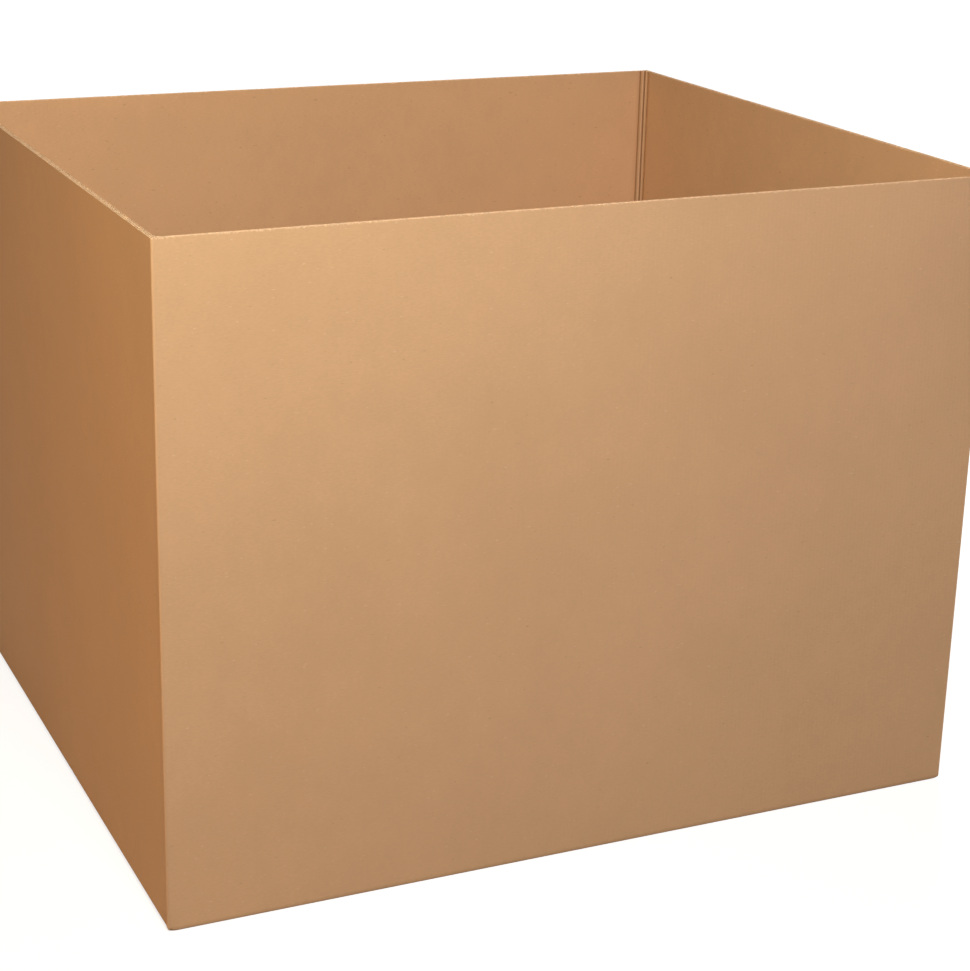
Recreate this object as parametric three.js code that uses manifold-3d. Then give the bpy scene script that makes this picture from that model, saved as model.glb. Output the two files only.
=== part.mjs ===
// Large half-slotted box of double-wall corrugated board, open at the top.
// Four walls are folded from one scored sheet and glued at one corner. Each wall carries a
// bottom flap: the two side flaps fold in first, and the front and back flaps close over them.
// Millimetres, +Z up, front wall towards -Y, origin under the middle of the box on the floor.

import * as THREE from 'three';
import { mergeVertices } from 'three/addons/utils/BufferGeometryUtils.js';
import Module from 'manifold-3d';

const wasm = await Module();
wasm.setup();

// Driving dimensions of the box, outside
const boxLength = 1180;
const boxWidth = 985;
const boxHeight = 900;

// The double-wall board: three liners, with the fine flute outside and the coarse flute inside
const linerThickness = 0.4;
const mediumThickness = 0.3;
const fineFluteHeight = 2.4;
const fineFlutePitch = 6.4;
const coarseFluteHeight = 3.4;
const coarseFlutePitch = 7.9;
const fluteDepth = 30;
const boardThickness = 3 * linerThickness + fineFluteHeight + coarseFluteHeight;

// Scored folds: outside radius, and the crushed ridges and grooves on the inside
const foldRadius = 5;
const creaseReach = 11;
const grooveWidth = 4.2;
const grooveDepth = 1.3;
const ridgeOffset = 4.8;
const ridgeHeight = 1.9;
const valleyHeight = 0.9;

// Bottom flaps
const outerFlapInset = 4;
const innerFlapSideGap = 1.5;
const seamGap = 3;
const layerGap = 0.3;
const hingeGap = 0.3;

// Glued corner
const tabWidth = 42;
const tabThickness = 5;
const tabBevel = 14;
const lapNotch = 2.5;

// Facets of a rounded fold and of a crushed crease, and the overlap of solids that are joined
const foldFacets = 6;
const creaseFacets = 16;
const joinOverlap = 1;

// Derived places
const right = boxLength / 2;
const front = -boxWidth / 2;
const wallFoot = boardThickness + layerGap;
const flapLength = (boxWidth - seamGap) / 2;
const innerFlapInset = boardThickness + innerFlapSideGap;
const innerFlapTop = wallFoot + boardThickness;
const fluteMargin = boardThickness + tabThickness + creaseReach;

// Solids

function solidOf(geometry) {
  const bare = new THREE.BufferGeometry();
  bare.setAttribute('position', geometry.getAttribute('position'));
  bare.setIndex(geometry.getIndex());
  const merged = mergeVertices(bare);
  return new wasm.Manifold(new wasm.Mesh({
    numProp: 3,
    vertProperties: new Float32Array(merged.getAttribute('position').array),
    triVerts: new Uint32Array(merged.getIndex().array),
  }));
}

function geometryOf(solid) {
  const { vertProperties, triVerts } = solid.getMesh();
  const geometry = new THREE.BufferGeometry();
  geometry.setAttribute('position', new THREE.BufferAttribute(vertProperties, 3));
  geometry.setIndex(new THREE.BufferAttribute(triVerts, 1));
  geometry.computeVertexNormals();
  return geometry;
}

function extrusion(outline, depth, placement, hole = null) {
  const shape = new THREE.Shape(outline);
  if (hole) {
    shape.holes.push(new THREE.Path(hole));
  }
  const geometry = new THREE.ExtrudeGeometry(shape, { depth, bevelEnabled: false });
  geometry.applyMatrix4(placement);
  return solidOf(geometry);
}

// A plan outline drawn in X and Y, standing from the height low to the height high
function standing(outline, low, high, hole = null) {
  return extrusion(outline, high - low, new THREE.Matrix4().makeTranslation(0, 0, low), hole);
}

// A section drawn in Y and Z, running along X
function alongX(section, start, end) {
  const turn = new THREE.Matrix4().makeBasis(
    new THREE.Vector3(0, 1, 0),
    new THREE.Vector3(0, 0, 1),
    new THREE.Vector3(1, 0, 0),
  );
  return extrusion(section, end - start, turn.setPosition(start, 0, 0));
}

// A section drawn in X and Z, running along Y
function alongY(section, start, end) {
  const turn = new THREE.Matrix4().makeBasis(
    new THREE.Vector3(1, 0, 0),
    new THREE.Vector3(0, 0, 1),
    new THREE.Vector3(0, -1, 0),
  );
  return extrusion(section, end - start, turn.setPosition(0, end, 0));
}

function block(low, high) {
  const geometry = new THREE.BoxGeometry(high.x - low.x, high.y - low.y, high.z - low.z);
  geometry.translate((low.x + high.x) / 2, (low.y + high.y) / 2, (low.z + high.z) / 2);
  return solidOf(geometry);
}

// Sections of a fold

function at(x, y) {
  return new THREE.Vector2(x, y);
}

// Arc about a centre, both ends included
function arc(centre, radius, startAngle, endAngle, facets = foldFacets) {
  const points = [];
  for (let i = 0; i <= facets; i += 1) {
    const angle = startAngle + (endAngle - startAngle) * (i / facets);
    points.push(at(centre.x + radius * Math.cos(angle), centre.y + radius * Math.sin(angle)));
  }
  return points;
}

// The inside of a scored fold. Along each face the board is pressed into a groove, and between
// the grooves the inner liner stands up in two ridges with the score's valley between them.
// The faces leave the corner along the unit vectors first and second.
function crease(corner, first, second) {
  const place = (a, b) => corner.clone().addScaledVector(first, a).addScaledVector(second, b);
  const grooveStart = creaseReach - grooveWidth / 2;
  const grooveEnd = creaseReach - grooveWidth;
  const half = [
    [creaseReach, 0],
    [grooveStart, -grooveDepth],
    [grooveEnd, 0],
    [ridgeOffset, ridgeHeight],
  ];
  const knots = [
    ...half.map(([a, b]) => place(a, b)),
    place(valleyHeight, valleyHeight),
    ...half.toReversed().map(([a, b]) => place(b, a)),
  ];
  return new THREE.SplineCurve(knots).getPoints(creaseFacets);
}

// Walls

const east = at(1, 0);
const west = at(-1, 0);
const north = at(0, 1);
const south = at(0, -1);

// Outside of the four walls in plan, counter-clockwise from the glued corner. There the front
// wall's cut edge laps the fold of the tab, and a narrow notch is left between the two.
function outerPlan() {
  const back = -front;
  const left = -right;
  const lap = front + boardThickness;
  const notchAngle = -Math.acos(Math.max(0, 1 - lapNotch / foldRadius));
  return [
    at(right, front),
    at(right, lap),
    at(right - lapNotch, lap),
    ...arc(at(right - foldRadius, lap + foldRadius), foldRadius, notchAngle, 0),
    ...arc(at(right - foldRadius, back - foldRadius), foldRadius, 0, Math.PI / 2),
    ...arc(at(left + foldRadius, back - foldRadius), foldRadius, Math.PI / 2, Math.PI),
    ...arc(at(left + foldRadius, front + foldRadius), foldRadius, Math.PI, 1.5 * Math.PI),
  ];
}

// Inside of the four walls in plan, with the start of the glue tab on the front wall
function innerPlan() {
  const innerRight = right - boardThickness;
  const innerFront = front + boardThickness;
  const tabFace = innerFront + tabThickness;
  return [
    at(innerRight - creaseReach, innerFront),
    ...crease(at(innerRight, tabFace), west, north),
    ...crease(at(innerRight, -innerFront), south, west),
    ...crease(at(-innerRight, -innerFront), east, south),
    ...crease(at(-innerRight, innerFront), north, east),
  ];
}

// The strip that is glued to the inside of the front wall, with bevelled ends
function glueTab() {
  const root = right - boardThickness - creaseReach + joinOverlap;
  const tip = right - boardThickness - tabWidth;
  const face = front + boardThickness;
  const outline = [
    at(tip, innerFlapTop + tabBevel),
    at(root, innerFlapTop),
    at(root, boxHeight),
    at(tip, boxHeight - tabBevel),
  ];
  return alongY(outline, face - joinOverlap, face + tabThickness);
}

// One row of flute cells along a wall of the given length, in plan. The cells stand on the row's
// outer liner, distance in from the wall's face, and narrow towards the next liner. The medium
// that parts them touches the liner at each wave. The wall runs from its start along the unit
// vector along, and inward points into the box.
function fluteRow(start, along, inward, length, distance, height, pitch) {
  const place = (a, b) => start.clone().addScaledVector(along, a).addScaledVector(inward, b);
  const waves = Math.max(1, Math.floor((length - 2 * fluteMargin) / pitch));
  const first = (length - waves * pitch) / 2;
  const crest = distance + height - mediumThickness;
  const root = distance + mediumThickness / 2;
  const outline = [place(first, distance), place(first + waves * pitch, distance)];
  for (let wave = waves; wave > 0; wave -= 1) {
    outline.push(place(first + wave * pitch, root));
    outline.push(place(first + (wave - 0.5) * pitch, crest));
  }
  outline.push(place(first, root));
  return standing(outline, boxHeight - fluteDepth, boxHeight + joinOverlap);
}

// Both rows of the board's flutes, open at the cut rim of one wall
function rimFlutes(start, along, inward, length) {
  const fine = linerThickness;
  const coarse = fine + fineFluteHeight + linerThickness;
  return fluteRow(start, along, inward, length, fine, fineFluteHeight, fineFlutePitch)
    .add(fluteRow(start, along, inward, length, coarse, coarseFluteHeight, coarseFlutePitch));
}

// The lower end of the front wall, mitred to its flap along the fold. The sections of the fold
// are drawn from its outer corner, y across the board and z upwards.
const mitreShift = hingeGap / Math.SQRT2;
const mitreAngle = Math.acos(Math.min(Math.SQRT1_2, hingeGap / (2 * foldRadius))) - Math.PI / 4;

function frontHem() {
  const centre = at(front + foldRadius, foldRadius);
  const inner = front + boardThickness;
  const section = [
    at(front, wallFoot + joinOverlap),
    ...arc(centre, foldRadius, Math.PI, Math.PI + mitreAngle),
    at(inner, boardThickness + mitreShift),
    at(inner, wallFoot + joinOverlap),
  ];
  return alongX(section, outerFlapInset - right, right - outerFlapInset);
}

// The right wall's lower fold and the flap that it carries, lying under the other way's flaps
function rightFold() {
  const inner = right - boardThickness;
  const end = right - flapLength;
  const centre = at(right - foldRadius, wallFoot + foldRadius);
  const section = [
    at(right, innerFlapTop + creaseReach + joinOverlap),
    at(inner, innerFlapTop + creaseReach + joinOverlap),
    ...crease(at(inner, innerFlapTop), north, west),
    at(end, innerFlapTop),
    at(end, wallFoot),
    ...arc(centre, foldRadius, -Math.PI / 2, 0),
  ];
  return alongY(section.toReversed(), front + innerFlapInset, -front - innerFlapInset);
}

// Room for the fold in the straight right wall
function rightFoldRoom() {
  return block(
    new THREE.Vector3(right - boardThickness - joinOverlap, front + innerFlapInset, 0),
    new THREE.Vector3(right + joinOverlap, -front - innerFlapInset, innerFlapTop + creaseReach),
  );
}

// The other side of the box has the same fold, turned half round
function bothWays(solid) {
  return solid.add(solid.rotate([0, 0, 180]));
}

function boxBody() {
  return standing(outerPlan(), wallFoot, boxHeight, innerPlan())
    .subtract(bothWays(rightFoldRoom()))
    .add(bothWays(rightFold()))
    .add(bothWays(frontHem()))
    .add(glueTab())
    .subtract(bothWays(rimFlutes(at(-right, front), east, north, boxLength)))
    .subtract(bothWays(rimFlutes(at(right, front), north, west, boxWidth)));
}

// The front wall's flap, closed: the outer liner turns round the fold and runs along the floor
function frontFlap() {
  const centre = at(front + foldRadius, foldRadius);
  const end = front + flapLength;
  const section = [
    ...arc(centre, foldRadius, 1.5 * Math.PI - mitreAngle, 1.5 * Math.PI),
    at(end, 0),
    at(end, boardThickness),
    at(front + boardThickness + mitreShift, boardThickness),
  ];
  return alongX(section, outerFlapInset - right, right - outerFlapInset);
}

// Model

const kraft = new THREE.MeshStandardMaterial({ color: 0xc69a6c, roughness: 0.85, metalness: 0 });

function named(name, solid) {
  const mesh = new THREE.Mesh(geometryOf(solid), kraft.clone());
  mesh.name = name;
  return mesh;
}

const box = new THREE.Group();
box.add(named('box_body', boxBody()));
box.add(named('outer_flap_front', frontFlap()));

const backFlap = named('outer_flap_back', frontFlap());
backFlap.rotation.z = Math.PI;
box.add(backFlap);

export default box;
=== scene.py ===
# Looks of a large open-top box of double-wall corrugated kraft board.
# Metres, +Z up, the front wall towards -Y, the floor at height 0.

import math

import bmesh
import bpy
import numpy as np
from mathutils import Matrix, Vector

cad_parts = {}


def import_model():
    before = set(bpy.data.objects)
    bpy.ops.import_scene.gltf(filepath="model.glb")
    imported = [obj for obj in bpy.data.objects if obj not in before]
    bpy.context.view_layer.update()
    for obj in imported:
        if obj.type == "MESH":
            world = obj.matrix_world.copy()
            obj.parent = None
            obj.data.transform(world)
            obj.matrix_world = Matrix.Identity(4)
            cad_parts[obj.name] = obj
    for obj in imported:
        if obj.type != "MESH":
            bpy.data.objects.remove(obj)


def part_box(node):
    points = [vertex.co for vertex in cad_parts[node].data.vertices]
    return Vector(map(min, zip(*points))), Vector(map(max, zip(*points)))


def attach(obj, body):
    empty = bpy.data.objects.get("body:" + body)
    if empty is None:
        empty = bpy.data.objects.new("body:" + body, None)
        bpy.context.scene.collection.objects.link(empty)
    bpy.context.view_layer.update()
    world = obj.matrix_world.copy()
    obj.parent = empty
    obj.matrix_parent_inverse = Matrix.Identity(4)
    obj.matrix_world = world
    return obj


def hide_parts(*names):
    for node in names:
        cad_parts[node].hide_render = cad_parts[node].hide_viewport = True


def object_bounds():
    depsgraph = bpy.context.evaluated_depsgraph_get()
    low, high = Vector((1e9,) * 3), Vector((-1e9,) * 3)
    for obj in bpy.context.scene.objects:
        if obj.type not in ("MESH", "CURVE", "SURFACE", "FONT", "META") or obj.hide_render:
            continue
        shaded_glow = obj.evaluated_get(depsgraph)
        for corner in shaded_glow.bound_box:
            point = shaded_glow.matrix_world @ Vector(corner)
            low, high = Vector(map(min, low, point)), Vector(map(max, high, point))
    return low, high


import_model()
cad_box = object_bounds()

MM = 0.001

# Sizes read from the frame
LOW, HIGH = cad_box
RIGHT = HIGH.x
FRONT = LOW.y
HEIGHT = HIGH.z
FLAP_LOW, FLAP_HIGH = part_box("outer_flap_front")
BOARD = FLAP_HIGH.z - FLAP_LOW.z
FLAP_SIDE = FLAP_HIGH.x
FLAP_LENGTH = FLAP_HIGH.y - FRONT

# The board's liners and flutes, as in the solids, and its waved mediums
LINER = 0.4 * MM
MEDIUM = 0.24 * MM
FINE_HEIGHT = 2.4 * MM
FINE_PITCH = 6.4 * MM
COARSE_PITCH = 7.9 * MM
FLUTE_DEPTH = 30 * MM
WAVE_SAMPLES = 8
WAVE_INSET = 0.5 * MM

# Vertical folds and the side flaps' folds: as in the solids, but bent more sharply outside
FOLD_RADIUS = 3 * MM
CREASE_REACH = 11 * MM
GROOVE_WIDTH = 4.2 * MM
GROOVE_DEPTH = 1.3 * MM
RIDGE_OFFSET = 4.8 * MM
RIDGE_HEIGHT = 1.9 * MM
VALLEY_HEIGHT = 0.9 * MM
FOLD_STEPS = 10
CREASE_STEPS = 40

# Hinged folds: bent more sharply still, with their ends pressed round
HEM_RADIUS = 2 * MM
PRESSED_RADIUS = 6 * MM
PRESSED_REACH = 10 * MM
PRESSED_STEPS = 5
BEND_POINTS = FOLD_STEPS + 1

# Gaps between the layers of board at the bottom, and beside the side flaps
LAYER_GAP = 0.3 * MM
SIDE_GAP = 1.5 * MM

# Glue tab, as in the solids, with a thin line of glue
TAB_WIDTH = 42 * MM
TAB_THICKNESS = 5 * MM
TAB_BEVEL = 14 * MM
GLUE = 0.1 * MM

# Derived places
WALL_FOOT = BOARD + LAYER_GAP
SIDE_INSET = BOARD + SIDE_GAP
SIDE_FLAP_TOP = WALL_FOOT + BOARD
FOLD_TOP = SIDE_FLAP_TOP + CREASE_REACH
FOLD_ZONE = BOARD + CREASE_REACH
MITRE = LAYER_GAP / math.sqrt(2)

# Depths into the board, from its outside, of its three liners and its two rows of flutes
COARSE_HEIGHT = BOARD - 3 * LINER - FINE_HEIGHT
LEVELS = np.cumsum([0, LINER, FINE_HEIGHT, LINER, COARSE_HEIGHT, LINER])
LINERS = tuple(zip(LEVELS[::2], LEVELS[1::2]))
ROWS = ((LEVELS[1], LEVELS[2], FINE_PITCH), (LEVELS[3], LEVELS[4], COARSE_PITCH))

# Uneven cut edges: how far they vary, and over what length
RIM_JITTER = 0.3 * MM
RIM_GRAIN = 9 * MM
RIM_PATCH = 60 * MM
EDGE_JITTER = 0.4 * MM
EDGE_GRAIN = 5 * MM
STATION_STEP = 7 * MM

# Wear and painted highlight of the folds, and painted shade along them
WEAR_AND_HIGHLIGHT_REACH = 14 * MM
FOLD_WEAR_AND_HIGHLIGHT = 0.8
HINGE_SHADE = 1.0

# Each lower corner of the box is worn round: shares of the board's thickness, and heights
CORNER_FOOT = 0.3 * MM
CORNER_BEND = ((0.5, 0.0), (0.22, 1.0 * MM), (0.07, 2.8 * MM), (0.0, 5.5 * MM))

# Material slots of every piece of board. The liners' slots are also the axis that their fibres
# lie along.
ALONG_X = 0
ALONG_Y = 1
CUT = 2

random = np.random.default_rng(11)


# Mesh building

class Shells:
    """Collects closed shells for one mesh object."""

    def __init__(self):
        self.points = []
        self.values = {"wear": [], "crush": [], "depth": []}
        self.faces = []
        self.kinds = []
        self.count = 0

    def sweep(self, sections, kinds, **values):
        """A closed shell through sections, an array of stations by section points by 3. kinds
        gives the material of the strips, for each stretch between stations and section point.
        The values, for stations and section points, are wear and painted highlight, painted shade
        of a fold or crease, and depth into the board."""
        stations, ring = sections.shape[:2]
        kinds = np.broadcast_to(kinds, (stations - 1, ring))
        station, corner = np.meshgrid(np.arange(stations - 1), np.arange(ring), indexing="ij")
        first = station * ring + corner
        second = station * ring + (corner + 1) % ring
        quads = np.stack([first, second, second + ring, first + ring], axis=-1).reshape(-1, 4)
        caps = [tuple(range(ring))[::-1], tuple(range((stations - 1) * ring, stations * ring))]
        for label, parts in self.values.items():
            parts.append(np.broadcast_to(values.get(label, 0.0), (stations, ring)).ravel())
        self.faces += [tuple(int(i) + self.count for i in face) for face in [*quads, *caps]]
        self.kinds += [*kinds.ravel(), CUT, CUT]
        self.points.append(sections.reshape(-1, 3))
        self.count += stations * ring

    def finish(self, name, materials):
        mesh = bpy.data.meshes.new(name)
        mesh.from_pydata(np.concatenate(self.points).tolist(), [], self.faces)
        for material in materials:
            mesh.materials.append(material)
        mesh.polygons.foreach_set("material_index", np.array(self.kinds, np.int32))
        for label, parts in self.values.items():
            attribute = mesh.attributes.new(label, "FLOAT", "POINT")
            attribute.data.foreach_set("value", np.concatenate(parts).astype(np.float32))
        shell = bmesh.new()
        shell.from_mesh(mesh)
        bmesh.ops.recalc_face_normals(shell, faces=shell.faces)
        shell.to_mesh(mesh)
        shell.free()
        mesh.polygons.foreach_set("use_smooth", np.ones(len(mesh.polygons), bool))
        mesh.set_sharp_from_angle(angle=math.radians(40))
        piece = bpy.data.objects.new(name, mesh)
        bpy.context.scene.collection.objects.link(piece)
        return piece


def soft_noise(distances, grain):
    """Smooth random values in [0, 1] along a line, with one knot for each grain of length."""
    start = distances.min()
    knots = random.uniform(0.0, 1.0, int((distances.max() - start) / grain) + 4)
    place = (distances - start) / grain
    whole = np.floor(place).astype(int)
    part = place - whole
    part = part * part * (3 - 2 * part)
    return knots[whole] * (1 - part) + knots[whole + 1] * part


def arc(centre, radius, start, end):
    angles = np.linspace(start, end, FOLD_STEPS + 1)
    return np.stack([centre[0] + radius * np.cos(angles), centre[1] + radius * np.sin(angles)], -1)


def spline(knots, steps):
    """A smooth line through the knots, even in each stretch, as in the solids."""
    knots = np.array(knots)
    padded = np.concatenate([knots[:1], knots, knots[-1:]])
    line = []
    for t in np.linspace(0, len(knots) - 1, steps + 1):
        k = min(int(t), len(knots) - 2)
        f = t - k
        p0, p1, p2, p3 = padded[k:k + 4]
        v1, v2 = (p2 - p0) / 2, (p3 - p1) / 2
        line.append(
            (2 * p1 - 2 * p2 + v1 + v2) * f ** 3
            + (-3 * p1 + 3 * p2 - 2 * v1 - v2) * f ** 2 + v1 * f + p1
        )
    return np.array(line)


def runs(line):
    """The distance along a line at each of its points."""
    return np.concatenate([[0], np.cumsum(np.linalg.norm(np.diff(line, axis=0), axis=1))])


def resampled(line, run, places):
    """Points at other places along a line, given the distance along it at its own points."""
    return np.stack([np.interp(places, run, line[:, k]) for k in range(line.shape[1])], -1)


def even(line, steps):
    """The line drawn again with steps even stretches."""
    run = runs(line)
    return resampled(line, run, np.linspace(0, run[-1], steps + 1))


def crease(corner, first, second):
    """The crushed inside of a scored fold, between faces that leave the corner along the unit
    vectors first and second."""
    corner, first, second = np.array(corner), np.array(first), np.array(second)
    half = (
        (CREASE_REACH, 0),
        (CREASE_REACH - GROOVE_WIDTH / 2, -GROOVE_DEPTH),
        (CREASE_REACH - GROOVE_WIDTH, 0),
        (RIDGE_OFFSET, RIDGE_HEIGHT),
    )
    knots = [corner + a * first + b * second for a, b in half]
    knots.append(corner + VALLEY_HEIGHT * (first + second))
    knots += [corner + b * first + a * second for a, b in reversed(half)]
    return spline(knots, CREASE_STEPS)


# Along a crease, by its knots: painted shade in its grooves and middle valley, and where its
# ridges are rubbed pale, partly a painted highlight
KNOTS = np.linspace(0, 8, CREASE_STEPS + 1)
SHADED_CREASE = np.interp(KNOTS, range(9), (0, 1, 0.3, 0, 1, 0, 0.3, 1, 0))
RIDGE_WEAR_AND_HIGHLIGHT = np.interp(KNOTS, range(9), (0, 0, 0, 1, 0, 1, 0, 0, 0))


# The folded sheet in plan

def plan_corner(outer, inner, arriving, leaving):
    """Outside and inside of the board through one vertical fold, station by station."""
    outer, arriving, leaving = np.array(outer), np.array(arriving), np.array(leaving)
    centre = outer + FOLD_RADIUS * (leaving - arriving)
    start = math.atan2(-leaving[1], -leaving[0])
    bend = arc(centre, FOLD_RADIUS, start, start - math.pi / 2)
    step = np.array(inner) - outer
    ends = (outer + (step @ arriving - CREASE_REACH) * arriving,
            outer + (step @ leaving + CREASE_REACH) * leaving)
    outside = even(np.concatenate([[ends[0]], bend, [ends[1]]]), CREASE_STEPS)
    return outside, crease(inner, -arriving, leaving)


def plan_straight(outside, inside):
    """Stations along a flat wall, between two ends given for its outside and its inside."""
    length = np.linalg.norm(np.subtract(outside[1], outside[0]))
    steps = max(2, round(length / STATION_STEP))
    return np.linspace(*outside, steps + 1), np.linspace(*inside, steps + 1)


def box_plan():
    """The sheet in plan from the front wall's cut edge, clockwise round the box to the end of the
    glue tab: outside, inside, the liners' slot, and the inside's painted shade and its ridges'
    wear and painted highlight, by station."""
    inner_right, inner_front = RIGHT - BOARD, FRONT + BOARD
    zone_x, zone_y = RIGHT - FOLD_ZONE, -FRONT - FOLD_ZONE
    tab_outside = inner_front + GLUE
    tab_inside = inner_front + TAB_THICKNESS
    tab_zone = tab_inside + CREASE_REACH
    tab_start, tab_end = inner_right - CREASE_REACH, inner_right - TAB_WIDTH
    west, north, east, south = (-1, 0), (0, 1), (1, 0), (0, -1)
    # Each stretch with the liners' slot in its first and in its second half
    stretches = (
        (ALONG_X, ALONG_X, plan_straight(((RIGHT, FRONT), (-zone_x, FRONT)),
                                         ((RIGHT, inner_front), (-zone_x, inner_front)))),
        (ALONG_X, ALONG_Y, plan_corner((-RIGHT, FRONT), (-inner_right, inner_front),
                                       west, north)),
        (ALONG_Y, ALONG_Y, plan_straight(((-RIGHT, -zone_y), (-RIGHT, zone_y)),
                                         ((-inner_right, -zone_y), (-inner_right, zone_y)))),
        (ALONG_Y, ALONG_X, plan_corner((-RIGHT, -FRONT), (-inner_right, -inner_front),
                                       north, east)),
        (ALONG_X, ALONG_X, plan_straight(((-zone_x, -FRONT), (zone_x, -FRONT)),
                                         ((-zone_x, -inner_front), (zone_x, -inner_front)))),
        (ALONG_X, ALONG_Y, plan_corner((RIGHT, -FRONT), (inner_right, -inner_front),
                                       east, south)),
        (ALONG_Y, ALONG_Y, plan_straight(((RIGHT, zone_y), (RIGHT, tab_zone)),
                                         ((inner_right, zone_y), (inner_right, tab_zone)))),
        (ALONG_Y, ALONG_X, plan_corner((RIGHT, tab_outside), (inner_right, tab_inside),
                                       south, west)),
        (ALONG_X, ALONG_X, plan_straight(((tab_start, tab_outside), (tab_end, tab_outside)),
                                         ((tab_start, tab_inside), (tab_end, tab_inside)))),
    )
    columns = [], [], [], [], []
    for before, after, (outer, inner) in stretches:
        half = len(outer) // 2
        slots = np.repeat([before, after], [half, len(outer) - half])
        flat = np.zeros(len(outer))
        crush, ridge_wear_and_highlight = (flat, flat) if before == after else (SHADED_CREASE, RIDGE_WEAR_AND_HIGHLIGHT)
        skip = 1 if columns[0] else 0
        for column, values in zip(columns, (outer, inner, slots, crush, ridge_wear_and_highlight)):
            column.append(values[skip:])
    return [np.concatenate(column) for column in columns]


def between(outside, inside, share):
    return outside + (inside - outside) * np.asarray(share)[..., None]


def lifted(plan, heights):
    """Plan points with their heights."""
    heights = np.broadcast_to(heights, plan.shape[:-1])
    return np.concatenate([plan, heights[..., None]], axis=-1)


# Pieces

def wave(run, low, high, pitch):
    """The middle of a waved medium that fills a row of flutes."""
    return (low + high) / 2 + ((high - low - MEDIUM) / 2) * np.sin(math.tau * run / pitch)


def fold_nearness(x, y):
    """1 on a vertical fold of the box, falling to 0 at the reach of its wear and painted
    highlight.
    """
    away = np.hypot(np.abs(np.abs(x) - RIGHT), np.abs(np.abs(y) + FRONT))
    return np.clip(1 - away / WEAR_AND_HIGHLIGHT_REACH, 0, 1)


def wall_feet(x, y):
    """Height at which the upright board ends: over the side folds it ends at their top."""
    on_side = np.abs(y) < -FRONT - SIDE_INSET
    side_wall = np.abs(x) > RIGHT - FOLD_ZONE
    return np.where(on_side & side_wall, FOLD_TOP, WALL_FOOT)


def rim_flutes(shells, outside, inside, run, top, groove):
    """The two waved mediums that stand in the rim."""
    for low, high, pitch in ROWS:
        places = np.arange(WAVE_INSET, run[-1] - WAVE_INSET, pitch / WAVE_SAMPLES)
        outer, inner = resampled(outside, run, places), resampled(inside, run, places)
        tip = np.interp(places, run, top) - EDGE_JITTER * soft_noise(places, EDGE_GRAIN)
        root = np.interp(places, run, groove) - LINER
        middle = wave(places, low, high, pitch)
        near = between(outer, inner, (middle - MEDIUM / 2) / BOARD)
        far = between(outer, inner, (middle + MEDIUM / 2) / BOARD)
        section = [lifted(near, root), lifted(near, tip), lifted(far, tip), lifted(far, root)]
        shells.sweep(np.stack(section, axis=1), CUT)


def upright_sheet(shells):
    """The walls and the glue tab, with both rows of flutes open at the rim."""
    outside, inside, slots, crushed, ridge_wear_and_highlight = box_plan()
    run = runs(outside)
    x, y = outside.T
    on_tab = (x > 0) & (x < RIGHT - FOLD_RADIUS) & (y > FRONT + BOARD) & (y < 0)
    tab_share = np.clip((RIGHT - FOLD_ZONE - x) / (TAB_WIDTH - CREASE_REACH), 0, 1)
    bevel = TAB_BEVEL * on_tab * tab_share
    top = HEIGHT - bevel
    groove = top - FLUTE_DEPTH
    groove[[0, -1]] = top[[0, -1]] - EDGE_JITTER
    foot = np.where(on_tab, SIDE_FLAP_TOP + bevel, wall_feet(x, y))

    corner = (np.abs(x) > FLAP_SIDE) & (np.abs(y) > -FRONT - SIDE_INSET) & ~on_tab & (run > BOARD)
    rise = np.clip((-FRONT - np.abs(y)) / SIDE_INSET, 0, 1)
    low = np.where(corner, CORNER_FOOT + (WALL_FOOT - CORNER_FOOT) * rise, foot)
    section = [lifted(between(outside, inside, corner * share), low + height)
               for share, height in CORNER_BEND]
    depth = [0.0] * len(CORNER_BEND)
    rim = []
    for start, end in LINERS:
        lip = top - RIM_JITTER * soft_noise(run, RIM_GRAIN) * soft_noise(run, RIM_PATCH)
        rim += [(start, groove), (start, lip), (end, lip), (end, groove)]
    for level, height in rim[1:-1]:
        section.append(lifted(between(outside, inside, level / BOARD), height))
        depth.append(level)
    section.append(lifted(inside, foot))
    depth.append(BOARD)

    ring = len(section)
    kinds = np.full((len(run) - 1, ring), CUT)
    kinds[:, :len(CORNER_BEND)] = slots[:-1, None]
    kinds[:, -2] = slots[:-1]
    # Painted shade in the inside creases of the vertical folds
    crush = np.zeros((len(run), ring))
    crush[:, -2:] = crushed[:, None]
    # Vertical folds paler outside, and the crease ridges inside: wear and painted highlight
    wear = np.repeat(FOLD_WEAR_AND_HIGHLIGHT * fold_nearness(x, y)[:, None], ring, axis=1)
    wear[:, -2:] = ridge_wear_and_highlight[:, None]
    shells.sweep(np.stack(section, axis=1), kinds, wear=wear, crush=crush, depth=depth)
    rim_flutes(shells, outside, inside, run, top, groove)


def flap_edge(bottom):
    """Section of a flap's cut end, from its underside up: liners and the rows between them."""
    end, root = FLAP_LENGTH, FLAP_LENGTH - FLUTE_DEPTH
    points = []
    for low, high in LINERS:
        low, high = bottom + low, bottom + high
        points += [(root, low), (end, low), (end, high), (root, high)]
    return points[1:-1]


def flap_flutes(shells, bottom, half, place):
    """The two waved mediums that stand in a flap's cut end."""
    for low, high, pitch in ROWS:
        run = np.arange(WAVE_INSET - half, half - WAVE_INSET, pitch / WAVE_SAMPLES)
        middle = bottom + wave(run, low, high, pitch)
        tip = FLAP_LENGTH - EDGE_JITTER * soft_noise(run, EDGE_GRAIN)
        root = np.full(len(run), FLAP_LENGTH - FLUTE_DEPTH - LINER)
        near, far = middle - MEDIUM / 2, middle + MEDIUM / 2
        section = [place(root, near, run), place(tip, near, run),
                   place(tip, far, run), place(root, far, run)]
        shells.sweep(np.stack(section, axis=1), CUT)


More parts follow.
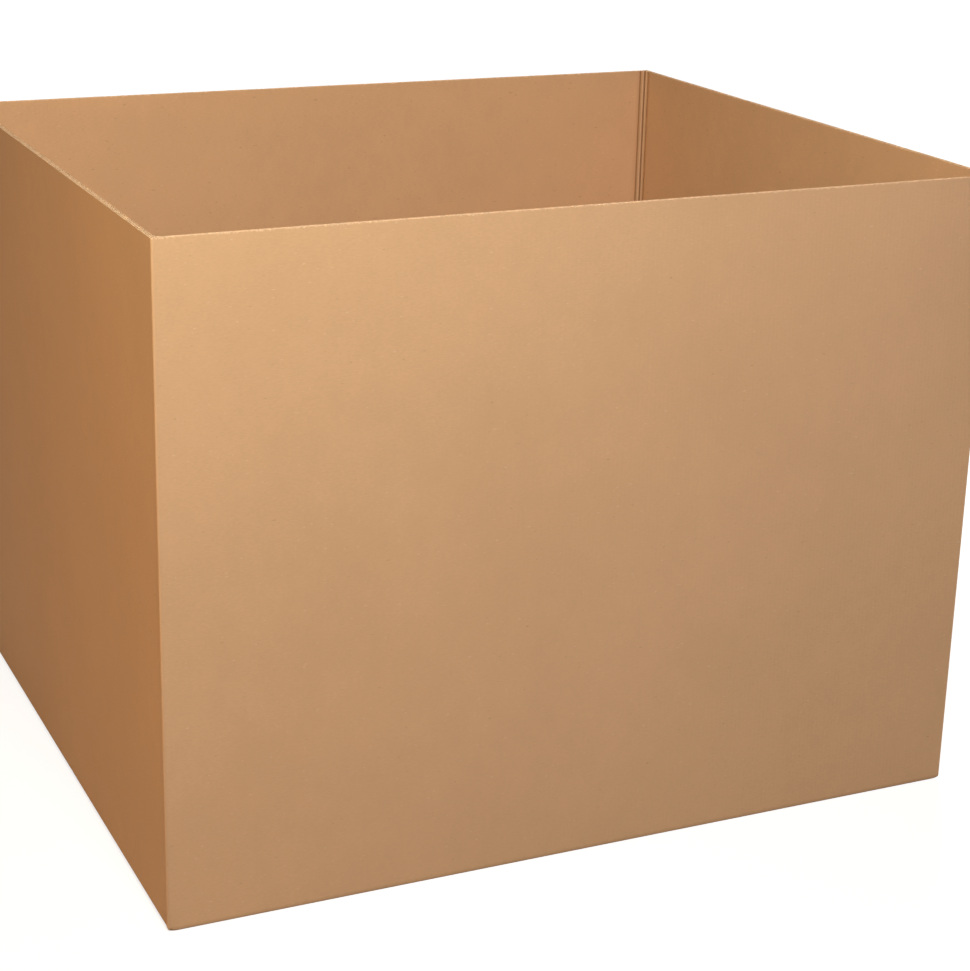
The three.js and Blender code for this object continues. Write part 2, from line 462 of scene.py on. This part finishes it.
def extruded(shells, section_at, start, stop, place, kinds, depth_at, crush=0.0):
    """A closed shell of a section (a, b), run from start to stop and put in place. section_at
    gives the section by its distance from the nearer end, and depth_at how deep in the board
    its points are."""
    ease = np.linspace(0, PRESSED_REACH, PRESSED_STEPS + 1)
    stations = np.concatenate([start + ease, stop - ease[::-1]])
    sections = [np.array(section_at(min(run - start, stop - run))) for run in stations]
    placed = [place(section[:, 0], section[:, 1], np.full(len(section), run))
              for section, run in zip(sections, stations)]
    depth = np.clip([depth_at(section) for section in sections], 0, BOARD)
    shells.sweep(np.array(placed), kinds, depth=depth, crush=crush)


def hem_bend(distance, start, end):
    """The rounded outside of a hinged fold, at a distance from its nearer end, which is pressed
    rounder. It runs from wall to hem, or from lip to flap: hem and lip face each other across
    the mitre."""
    share = max(0.0, 1 - distance / PRESSED_REACH)
    radius = HEM_RADIUS + (PRESSED_RADIUS - HEM_RADIUS) * share ** 2
    mitre = math.acos(LAYER_GAP / (2 * radius)) - math.pi / 4
    turns = {"wall": math.pi, "hem": math.pi + mitre, "lip": 1.5 * math.pi - mitre,
             "flap": 1.5 * math.pi}
    return arc((radius, radius), radius, turns[start], turns[end])


def front_flap_place(a, b, run):
    """a inwards from the front fold, b up, run along X"""
    return np.stack([run, FRONT + a, b], -1)


def back_flap_place(a, b, run):
    return np.stack([-run, -FRONT - a, b], -1)


def right_flap_place(a, b, run):
    return np.stack([RIGHT - a, run, b], -1)


def left_flap_place(a, b, run):
    return np.stack([-RIGHT + a, -run, b], -1)


def outer_flap(name, place, materials):
    """The front or back flap: mitred to its wall, with open flutes at its free end."""
    shells = Shells()
    edge = flap_edge(0)

    def section_at(distance):
        return [*hem_bend(distance, "lip", "flap"), *edge, (BOARD + MITRE, BOARD)]

    kinds = np.full(BEND_POINTS + len(edge) + 1, CUT)
    kinds[:BEND_POINTS] = ALONG_X
    kinds[-2] = ALONG_X
    crush = np.zeros(len(kinds))
    # Painted shade along the flap's rounded fold, darkest at the mitre and fading towards its
    # underside
    crush[:BEND_POINTS] = np.linspace(HINGE_SHADE, 0, BEND_POINTS)
    extruded(shells, section_at, -FLAP_SIDE, FLAP_SIDE, place, kinds, lambda points: points[:, 1],
             crush)
    flap_flutes(shells, 0, FLAP_SIDE, place)
    return shells.finish(name, materials)


def hem(shells, place, stop=FLAP_SIDE):
    """The lower end of the front or back wall, mitred to its flap."""
    inside = [(BOARD, BOARD + MITRE), (BOARD, WALL_FOOT)]

    def section_at(distance):
        return [(0, WALL_FOOT), *hem_bend(distance, "wall", "hem"), *inside]

    kinds = np.full(BEND_POINTS + 3, ALONG_X)
    kinds[BEND_POINTS] = CUT
    kinds[-1] = CUT
    crush = np.zeros(len(kinds))
    # Painted shade along the wall's rounded lower edge, darkest at the mitre below
    crush[1:1 + BEND_POINTS] = np.linspace(HINGE_SHADE / 3, HINGE_SHADE, BEND_POINTS)
    extruded(shells, section_at, -FLAP_SIDE, stop, place, kinds, lambda points: points[:, 0],
             crush)


def side_flap(shells, place):
    """A side wall's lower fold with its flap, open flutes at the flap's end."""
    bend = arc((FOLD_RADIUS, WALL_FOOT + FOLD_RADIUS), FOLD_RADIUS, math.pi, 1.5 * math.pi)
    inner = crease((BOARD, SIDE_FLAP_TOP), (1, 0), (0, 1))
    section = [(0, FOLD_TOP), *bend, *flap_edge(WALL_FOOT), *inner]
    kinds = np.full(len(section), ALONG_Y)
    kinds[1 + len(bend):len(section) - len(inner) - 1] = CUT
    kinds[-1] = CUT
    half = -FRONT - SIDE_INSET
    extruded(shells, lambda distance: section, -half, half, place, kinds,
             lambda points: points[:, 1] - WALL_FOOT)
    flap_flutes(shells, WALL_FOOT, half, place)


def box_shell(materials):
    shells = Shells()
    upright_sheet(shells)
    hem(shells, front_flap_place, RIGHT)
    hem(shells, back_flap_place)
    side_flap(shells, right_flap_place)
    side_flap(shells, left_flap_place)
    return shells.finish("box_shell", materials)


# Materials

KRAFT = (0.70, 0.44, 0.25)
PALE_FIBRE = (0.86, 0.66, 0.46)
DARK_FIBRE = (0.34, 0.19, 0.09)
# Pale of worn folds, also their painted highlight
WORN_AND_HIGHLIGHT = (0.80, 0.56, 0.37)
CUT_EDGE = (0.90, 0.635, 0.41)
SHADED = (0.52, 0.29, 0.12)
# Painted shade in the flute hollows of the cut edge
HOLLOW_SHADE = (0.30, 0.18, 0.095)
# Painted shade of creases and folds
FOLD_SHADE_COLOUR = (0.24, 0.105, 0.03)
WHITE = (1.0, 1.0, 1.0)

# Noise features a metre, along each axis
CLOUDS = (5.0, 5.0, 5.0)
BLOTCHES = (34.0, 34.0, 26.0)
GRAINS = (1900.0, 1900.0, 1900.0)
WARPS = (3.1, 3.1, 2.3)
FRAYS = (330.0, 330.0, 240.0)
FRAY_PATCHES = (22.0, 22.0, 22.0)
FUZZ = (700.0, 700.0, 700.0)
CUT_PATCHES = (150.0, 150.0, 60.0)
HOLLOW_SHADE_PATCHES = (240.0, 240.0, 90.0)

# Noise features a metre, across and along the fibres
STRANDS = (900.0, 160.0)
PALE_SPECKS = (420.0, 110.0)
DARK_SPECKS = (357.6, 100.3)

# Heights of the bumps
WARP_BUMP = 1.6 * MM
FLUTE_BUMP = 0.02 * MM
STRAND_BUMP = 0.025 * MM
GRAIN_BUMP = 0.02 * MM
FUZZ_BUMP = 0.1 * MM

# How far down from the rim its frayed pallor and the shade between its liners reach
FRAY = 2.2 * MM
SHADE_START = 0.35 * MM
SHADE_END = 1.8 * MM


class Nodes:
    """Short calls for building the node tree of a material or world."""

    def __init__(self, owner):
        owner.use_nodes = True
        self.tree = owner.node_tree

    def new(self, kind, **settings):
        node = self.tree.nodes.new(kind)
        for key, value in settings.items():
            setattr(node, key, value)
        return node

    def put(self, value, socket):
        if isinstance(value, bpy.types.NodeSocket):
            self.tree.links.new(value, socket)
        else:
            socket.default_value = value

    def result(self, kind, *values, **settings):
        """The first output of a new node with its first inputs filled in."""
        node = self.new(kind, **settings)
        for value, socket in zip(values, node.inputs):
            self.put(value, socket)
        return node.outputs[0]

    def math(self, operation, *values):
        return self.result("ShaderNodeMath", *values, operation=operation)

    def product(self, *values):
        total = values[0]
        for value in values[1:]:
            total = self.math("MULTIPLY", total, value)
        return total

    def ramp(self, value, low, high, to_low=0.0, to_high=1.0):
        return self.result("ShaderNodeMapRange", value, low, high, to_low, to_high,
                           interpolation_type="SMOOTHSTEP")

    def seen(self):
        """1 for rays that should find the background white, 0 for those that carry light."""
        path = self.new("ShaderNodeLightPath")
        direct = self.math("MAXIMUM", path.outputs["Is Camera Ray"], path.outputs["Is Glossy Ray"])
        return self.math("MAXIMUM", direct, path.outputs["Is Transmission Ray"])


class Surface(Nodes):
    """The node tree of a new material, laid out in the piece's own coordinates."""

    def __init__(self, name):
        self.material = bpy.data.materials.new(name)
        super().__init__(self.material)
        self.shader = self.tree.nodes["Principled BSDF"]
        self.place = self.new("ShaderNodeTexCoord").outputs["Object"]
        split = self.new("ShaderNodeSeparateXYZ")
        self.put(self.place, split.inputs[0])
        self.axes = split.outputs

    def noise(self, scale, detail, roughness=0.5):
        """Noise in [0, 1] with scale features a metre along each axis."""
        node = self.new("ShaderNodeTexNoise")
        place = self.result("ShaderNodeVectorMath", self.place, scale, operation="MULTIPLY")
        self.put(place, node.inputs["Vector"])
        node.inputs["Scale"].default_value = 1.0
        node.inputs["Detail"].default_value = detail
        node.inputs["Roughness"].default_value = roughness
        return node.outputs["Fac"]

    def attribute(self, name):
        return self.new("ShaderNodeAttribute", attribute_name=name).outputs["Fac"]

    def shade(self, noise, spread, reach=0.2):
        """A factor within spread of 1, from noise within reach of its middle."""
        return self.ramp(noise, 0.5 - reach, 0.5 + reach, 1 - spread, 1 + spread)

    def mix(self, share, first, second):
        node = self.new("ShaderNodeMix", data_type="RGBA")
        self.put(share, node.inputs[0])
        for value, socket in ((first, node.inputs[6]), (second, node.inputs[7])):
            self.put((*value, 1.0) if isinstance(value, tuple) else value, socket)
        return node.outputs[2]

    def tint(self, colour, value):
        """The colour brightened or darkened by a factor."""
        node = self.new("ShaderNodeVectorMath", operation="SCALE")
        self.put(colour, node.inputs[0])
        self.put(value, node.inputs["Scale"])
        return node.outputs[0]

    def bump(self, height, distance, normal=None):
        node = self.new("ShaderNodeBump")
        node.inputs["Distance"].default_value = distance
        node.inputs["Strength"].default_value = 1.0
        self.put(height, node.inputs["Height"])
        if normal is not None:
            self.put(normal, node.inputs["Normal"])
        return node.outputs[0]

    def finish(self, colour, roughness, specular, normal):
        for label, value in (("Base Color", colour), ("Roughness", roughness),
                             ("Specular IOR Level", specular), ("Normal", normal)):
            self.put(value, self.shader.inputs[label])
        return self.material


def lengthwise(axis, scale):
    """A noise scale from its values across and along one axis."""
    across, along = scale
    return tuple(along if k == axis else across for k in range(3))


def kraft(name, axis):
    """Kraft liner, with its fibres lying along an axis and faint flute lines across them."""
    n = Surface(name)
    blotch = n.noise(BLOTCHES, 4.0, 0.6)
    strand = n.noise(lengthwise(axis, STRANDS), 3.0, 0.6)
    grain = n.noise(GRAINS, 1.0)
    level = n.product(n.shade(n.noise(CLOUDS, 3.0, 0.55), 0.02), n.shade(blotch, 0.015),
                      n.shade(strand, 0.028), n.shade(grain, 0.02, 0.25))
    colour = n.tint(KRAFT, level)

    pale = n.ramp(n.noise(lengthwise(axis, PALE_SPECKS), 1.0), 0.73, 0.78, 0.0, 0.45)
    dark = n.ramp(n.noise(lengthwise(axis, DARK_SPECKS), 1.0), 0.745, 0.79, 0.0, 0.4)
    colour = n.mix(pale, colour, PALE_FIBRE)
    colour = n.mix(dark, colour, DARK_FIBRE)

    # Folds and crease ridges lightened: partly wear, partly a painted highlight
    rubbed_and_highlight = n.product(n.ramp(n.attribute("wear"), 0.62, 0.95),
                       n.ramp(strand, 0.35, 0.7, 0.35, 1.0), 0.7)
    colour = n.mix(rubbed_and_highlight, colour, WORN_AND_HIGHLIGHT)
    # Painted shade in the creases' grooves and valleys and along the hinged folds' rounded edges
    colour = n.mix(n.product(n.attribute("crush"), 0.85), colour, FOLD_SHADE_COLOUR)

    frayed = n.product(n.ramp(n.axes[2], HEIGHT - FRAY, HEIGHT - FRAY / 4),
                       n.ramp(n.noise(FRAYS, 3.0, 0.6), 0.48, 0.6),
                       n.ramp(n.noise(FRAY_PATCHES, 2.0), 0.38, 0.62, 0.2, 1.0), 0.9)
    colour = n.mix(frayed, colour, CUT_EDGE)

    flute = n.math("SINE", n.product(n.axes[axis], math.tau / FINE_PITCH))
    normal = n.bump(n.noise(WARPS, 1.0), WARP_BUMP)
    normal = n.bump(flute, FLUTE_BUMP, normal)
    normal = n.bump(strand, STRAND_BUMP, normal)
    normal = n.bump(grain, GRAIN_BUMP, normal)
    return n.finish(colour, n.ramp(blotch, 0.3, 0.7, 0.78, 0.88), 0.3, normal)


def cut_board():
    """The board's cut edge: paler, fuzzy paper, shaded between the liners of the rim, with patches
    of painted shade down in the flute hollows where the cut runs along the flutes."""
    n = Surface("cut_board")
    fuzz = n.noise(FUZZ, 3.0, 0.65)
    patch = n.noise(CUT_PATCHES, 3.0, 0.6)
    colour = n.tint(CUT_EDGE, n.product(n.shade(fuzz, 0.14), n.ramp(patch, 0.3, 0.7, 0.8, 1.12)))

    # The vertical cut edge of the front wall, at the box's right, keeps its own pallor
    x, _, z = n.axes
    flute_floor = HEIGHT - FLUTE_DEPTH
    shaded = n.product(n.ramp(z, HEIGHT - SHADE_END, HEIGHT - SHADE_START, 0.7, 0.0),
                       n.ramp(z, flute_floor - MM, flute_floor),
                       n.ramp(x, RIGHT - MM, RIGHT - MM / 2, 1.0, 0.0))
    colour = n.mix(shaded, colour, SHADED)

    # Painted shade, in patches, on the cut faces down between the liners
    depth = n.attribute("depth")
    hollow_shade = 0.0
    for low, high, _ in ROWS:
        inside = n.product(n.ramp(depth, low + LINER / 4, low + LINER),
                           n.ramp(depth, high - LINER, high - LINER / 4, 1.0, 0.0))
        hollow_shade = n.math("MAXIMUM", hollow_shade, inside)
    hollow_shade = n.product(hollow_shade, n.ramp(n.noise(HOLLOW_SHADE_PATCHES, 3.0, 0.6), 0.4, 0.58, 0.35, 1.0))
    colour = n.mix(hollow_shade, colour, HOLLOW_SHADE)
    return n.finish(colour, 0.92, 0.2, n.bump(fuzz, FUZZ_BUMP))


# Stage and light

FLOOR_SIZE = 60
FLOOR_DROP = 0.3 * MM
FLOOR_GREY = (0.35, 0.35, 0.35)
UNDERSIDE_GLOW = (1.0, 0.95, 0.9)
ROOM = (1.0, 0.8, 0.6)
ROOM_STRENGTH = 0.1

# Name, place, target, size, power and colour
LAMPS = (
    ("key", (-0.6, -2.8, 2.8), (0, 0, 0.45), 0.8, 60, (1.0, 0.91, 0.94)),
    ("corner", (-0.9, -1.2, 2.0), (0, 0, 0.45), 0.6, 14, (0.94, 1.0, 0.69)),
    ("side", (-2.4, -0.9, 0.85), (-0.59, -0.1, 0.6), 0.8, 11, (1.0, 0.46, 0.09)),
    ("rear", (2.6, 3.2, 2.8), (0, 0, 0.5), 1.6, 150, (1.0, 0.92, 0.82)),
)


def floor():
    """A pale floor that shows white, dims in the box's shadow and in painted shade near and under
    the box, glows under the box's edges to light its underside, and is clear from below.
    """
    bpy.ops.mesh.primitive_plane_add(size=FLOOR_SIZE, location=(0, 0, -FLOOR_DROP))
    plane = bpy.context.object
    plane.name = "floor"
    n = Surface("studio_floor")
    plane.data.materials.append(n.material)
    n.shader.inputs["Base Color"].default_value = (*FLOOR_GREY, 1.0)
    n.shader.inputs["Roughness"].default_value = 0.9
    n.shader.inputs["Specular IOR Level"].default_value = 0.0
    plain = n.shader.outputs[0]

    # Distance outwards from the box's sides, negative under the box
    beyond = [n.math("SUBTRACT", n.math("ABSOLUTE", n.axes[axis]), reach)
              for axis, reach in ((0, RIGHT), (1, -FRONT))]
    away = n.math("MAXIMUM", *beyond)
    # Seen as white far off, with painted shade: dimmer within about 1.5 m of the box and dark
    # under it
    shaded_glow = n.product(n.ramp(away, 0.2, 1.5, 0.8, 1.0), n.ramp(away, -0.03, 0.0, 0.1, 1.0))
    glow = n.result("ShaderNodeEmission", (*WHITE, 1.0), shaded_glow)
    # A glow in the floor under the box's edges, no lamp, that lights the box's underside; the
    # camera doesn't see it
    underside_glow = n.result("ShaderNodeEmission", (*UNDERSIDE_GLOW, 1.0),
                     n.ramp(away, -0.06, -0.02, 0.3, 0.0))
    above = n.result("ShaderNodeMixShader", n.seen(),
                     n.result("ShaderNodeAddShader", plain, underside_glow),
                     n.result("ShaderNodeAddShader", plain, glow))
    surface = n.result("ShaderNodeMixShader",
                       n.new("ShaderNodeNewGeometry").outputs["Backfacing"],
                       above, n.new("ShaderNodeBsdfTransparent").outputs[0])
    n.put(surface, n.tree.nodes["Material Output"].inputs["Surface"])


def world():
    """A dim, warm room that shows white."""
    sky = bpy.data.worlds.new("studio")
    bpy.context.scene.world = sky
    n = Nodes(sky)
    room = n.tree.nodes["Background"]
    room.inputs["Color"].default_value = (*ROOM, 1.0)
    room.inputs["Strength"].default_value = ROOM_STRENGTH
    white = n.result("ShaderNodeBackground", (*WHITE, 1.0), 1.0)
    surface = n.result("ShaderNodeMixShader", n.seen(), room.outputs[0], white)
    n.put(surface, n.tree.nodes["World Output"].inputs["Surface"])


def lamp(name, place, target, size, power, colour):
    light = bpy.data.lights.new(name, "AREA")
    light.shape = "DISK"
    light.size = size
    light.energy = power
    light.color = colour
    piece = bpy.data.objects.new(name, light)
    bpy.context.scene.collection.objects.link(piece)
    piece.location = place
    piece.rotation_euler = (Vector(target) - Vector(place)).to_track_quat("-Z", "Y").to_euler()


# The photograph's camera: its size and focal length in pixels, with a small shift and roll
PHOTO_SIZE = 971
FOCAL_PIXELS = 2216.4
CAMERA_PLACE = (-1.2848, -2.8992, 1.4673)
CAMERA_AZIMUTH = math.radians(-24.226)
CAMERA_ELEVATION = math.radians(18.34)
CAMERA_ROLL = math.radians(1.178)
CAMERA_SHIFT = 0.03


def camera():
    data = bpy.data.cameras.new("camera")
    piece = bpy.data.objects.new("camera", data)
    bpy.context.scene.collection.objects.link(piece)
    bpy.context.scene.camera = piece
    data.lens = data.sensor_width * FOCAL_PIXELS / PHOTO_SIZE
    data.shift_x = CAMERA_SHIFT
    data.shift_y = -CAMERA_SHIFT
    data.clip_start = 0.05
    data.clip_end = 100
    back = Vector((
        math.sin(CAMERA_AZIMUTH) * math.cos(CAMERA_ELEVATION),
        -math.cos(CAMERA_AZIMUTH) * math.cos(CAMERA_ELEVATION),
        math.sin(CAMERA_ELEVATION),
    ))
    turn = (-back).to_track_quat("-Z", "Y").to_matrix() @ Matrix.Rotation(CAMERA_ROLL, 3, "Z")
    piece.matrix_world = Matrix.Translation(CAMERA_PLACE) @ turn.to_4x4()


# Model

camera()
board = [kraft("kraft_along_x", ALONG_X), kraft("kraft_along_y", ALONG_Y), cut_board()]

for piece, node, body in (
    (box_shell(board), "box_body", "box"),
    (outer_flap("front_flap_board", front_flap_place, board), "outer_flap_front", "front_flap"),
    (outer_flap("back_flap_board", back_flap_place, board), "outer_flap_back", "back_flap"),
):
    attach(piece, body)
    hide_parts(node)

floor()
world()
for settings in LAMPS:
    lamp(*settings)
bpy.context.scene.view_settings.view_transform = "Standard"
